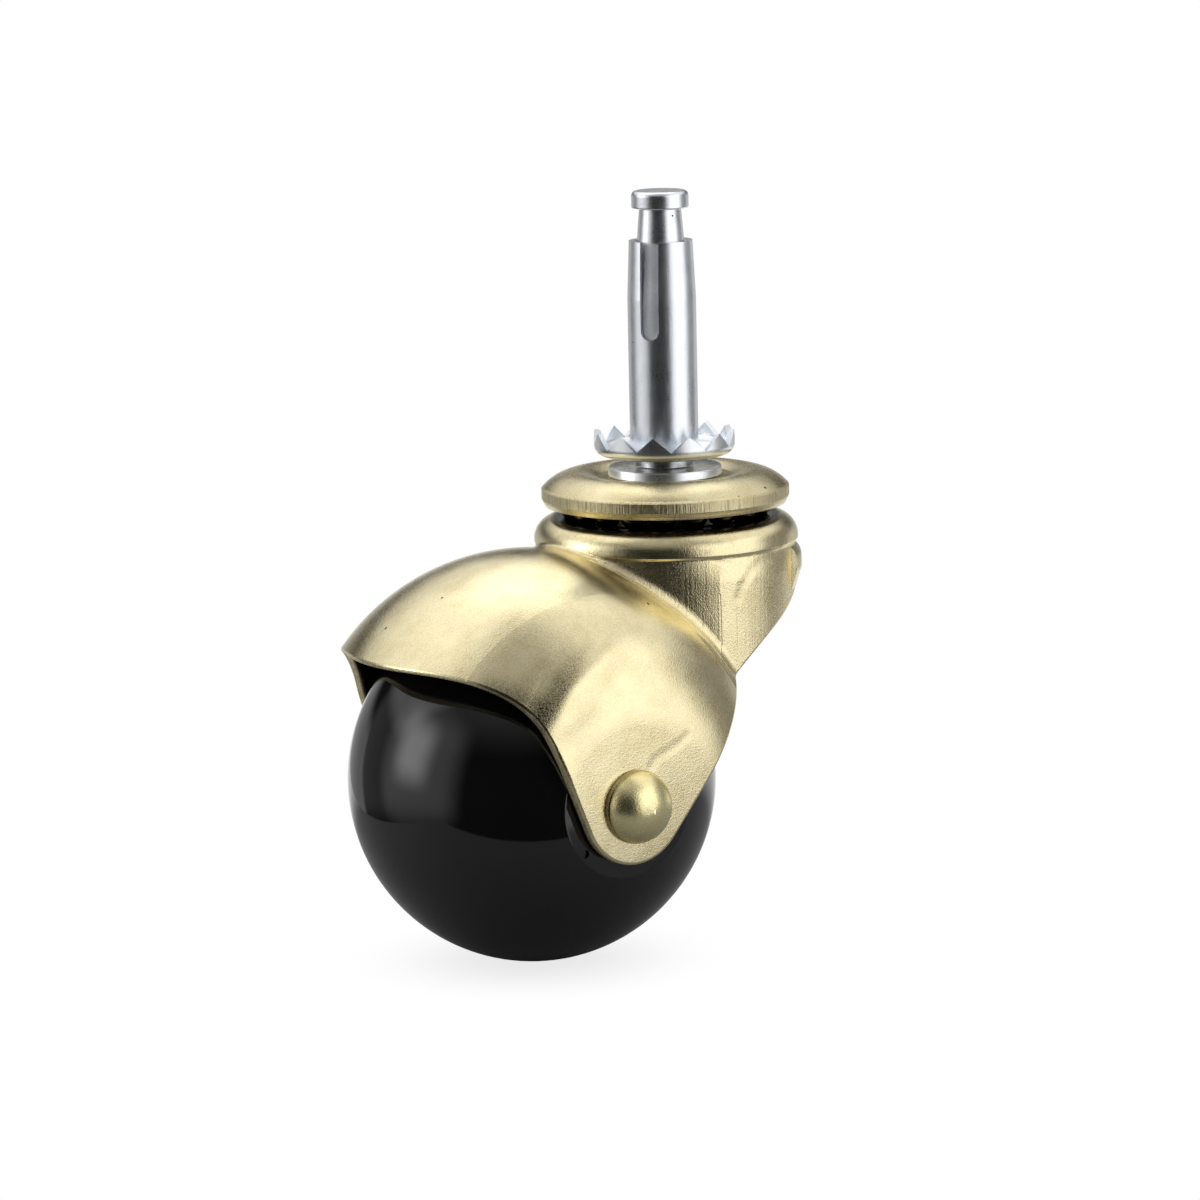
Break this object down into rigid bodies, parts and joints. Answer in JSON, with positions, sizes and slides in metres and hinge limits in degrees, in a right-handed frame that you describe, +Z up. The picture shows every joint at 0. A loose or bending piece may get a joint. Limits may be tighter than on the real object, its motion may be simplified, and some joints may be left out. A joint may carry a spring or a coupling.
{
  "type": "ball castor",
  "caption": "Hooded ball castor: a round moulded ball on a riveted axle under a pressed brass-plated hood that swivels on loose balls about a grip-neck stem in a toothed leg socket.",
  "frame": {"origin": "on the stem's axis, in the plane of the socket's floor where the end of the furniture leg rests", "axes": "+Z up along the stem into the leg, -X the way the ball trails from the stem, Y along the axle"},
  "size_m": [0.0676, 0.057, 0.1049],
  "materials": {
    "zinc_plate": "bright zinc plate on steel",
    "brass_plate": "satin brass plate on pressed steel",
    "bearing_steel": "polished",
    "black_moulding": "high gloss"
  },
  "bodies": {
    "socket": {"leg_socket": "zinc_plate"},
    "stem": {"stem": "zinc_plate", "race_cap": "brass_plate", "lower_race": "zinc_plate"},
    "hood": {"hood": "brass_plate", "axle_rivet": "brass_plate"},
    "wheel": {"ball_wheel": "black_moulding"},
    "upper_row": {"upper_balls": "bearing_steel"},
    "lower_row": {"lower_balls": "bearing_steel"}
  },
  "joints": [
    {"name": "stem_slide", "type": "slide", "parent": "socket", "child": "stem", "axis": [0, 0, 1], "range_m": [-0.0044, 0.00157]},
    {"name": "hood_swivel", "type": "hinge", "parent": "stem", "child": "hood", "pos_m": [0, 0, -0.0093], "axis": [0, 0, 1], "continuous": true},
    {"name": "ball_roll", "type": "hinge", "parent": "hood", "child": "wheel", "pos_m": [-0.02335, 0, -0.0436], "axis": [0, 1, 0], "continuous": true},
    {"name": "upper_row_turn", "type": "hinge", "parent": "stem", "child": "upper_row", "pos_m": [0, 0, -0.00748], "axis": [0, 0, 1], "continuous": true},
    {"name": "lower_row_turn", "type": "hinge", "parent": "stem", "child": "lower_row", "pos_m": [0, 0, -0.01271], "axis": [0, 0, 1], "continuous": true}
  ],
  "couplings": [
    {"joint": "upper_row_turn", "follows": "hood_swivel", "ratio": 0.5},
    {"joint": "lower_row_turn", "follows": "hood_swivel", "ratio": 0.5}
  ]
}
